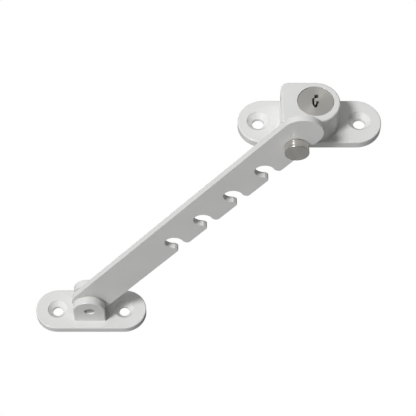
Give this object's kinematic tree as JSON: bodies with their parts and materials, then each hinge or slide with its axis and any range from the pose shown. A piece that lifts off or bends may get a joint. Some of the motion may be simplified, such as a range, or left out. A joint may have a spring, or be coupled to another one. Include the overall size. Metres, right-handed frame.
{
  "type": "key-locking casement window stay",
  "caption": "Key-locking notched window stay: a flat arm pivoted in a clevis bracket, hooked over the stud of a lock unit with a key cylinder.",
  "frame": {"origin": "centre of the frame bracket's underside, the face that is screwed to the window frame", "axes": "+Z out of the mounting face, +X along the bracket's plate, towards the side the arm leans to, +Y along the pivot, from the arm's head side to the lock unit"},
  "size_m": [0.145, 0.0341, 0.1477],
  "materials": {
    "white_coat": "satin white powder coat over die-cast zinc and steel, faint orange peel",
    "satin_nickel": "satin nickel plate, turned and lightly brushed",
    "zinc_steel": "bright zinc plated steel",
    "brass": "plain machined brass",
    "nylon": "natural white nylon"
  },
  "bodies": {
    "frame_bracket": {"frame_bracket": "white_coat", "pivot_pin": "zinc_steel", "front_washer": "nylon", "rear_washer": "nylon"},
    "stay_arm": {"stay_arm": "white_coat", "pivot_bush": "nylon"},
    "lock_unit": {"lock_housing": "white_coat", "cylinder_shell": "brass", "stud_guide_bush": "brass", "cylinder_pin": "zinc_steel", "base_cover": "zinc_steel", "cover_screw_left": "zinc_steel", "cover_screw_right": "zinc_steel"},
    "locking_stud": {"locking_stud": "satin_nickel", "stud_slider": "zinc_steel", "slider_screw": "zinc_steel"},
    "key_plug": {"key_plug": "satin_nickel", "wafer_1": "brass", "wafer_2": "brass", "wafer_3": "brass", "wafer_4": "brass", "drive_cam": "zinc_steel", "cam_screw": "zinc_steel"}
  },
  "joints": [
    {"name": "arm_swing", "type": "hinge", "parent": "frame_bracket", "child": "stay_arm", "pos_m": [0, 0, 0.0118], "axis": [0, 1, 0], "range_deg": [-124, 55]},
    {"name": "lock_swivel", "type": "hinge", "parent": "stay_arm", "child": "lock_unit", "pos_m": [0.08657, 0, 0.13176], "axis": [0, 1, 0], "range_deg": [-55, 124]},
    {"name": "key_turn", "type": "hinge", "parent": "lock_unit", "child": "key_plug", "pos_m": [0.09397, 0.0142, 0.13916], "axis": [0, 0, -1], "range_deg": [0, 180]},
    {"name": "stud_slide", "type": "slide", "parent": "lock_unit", "child": "locking_stud", "axis": [0, -1, 0], "range_m": [0, 0.004]}
  ],
  "couplings": [
    {"joint": "key_turn", "follows": "stud_slide", "rad_per_m": 785.39}
  ]
}
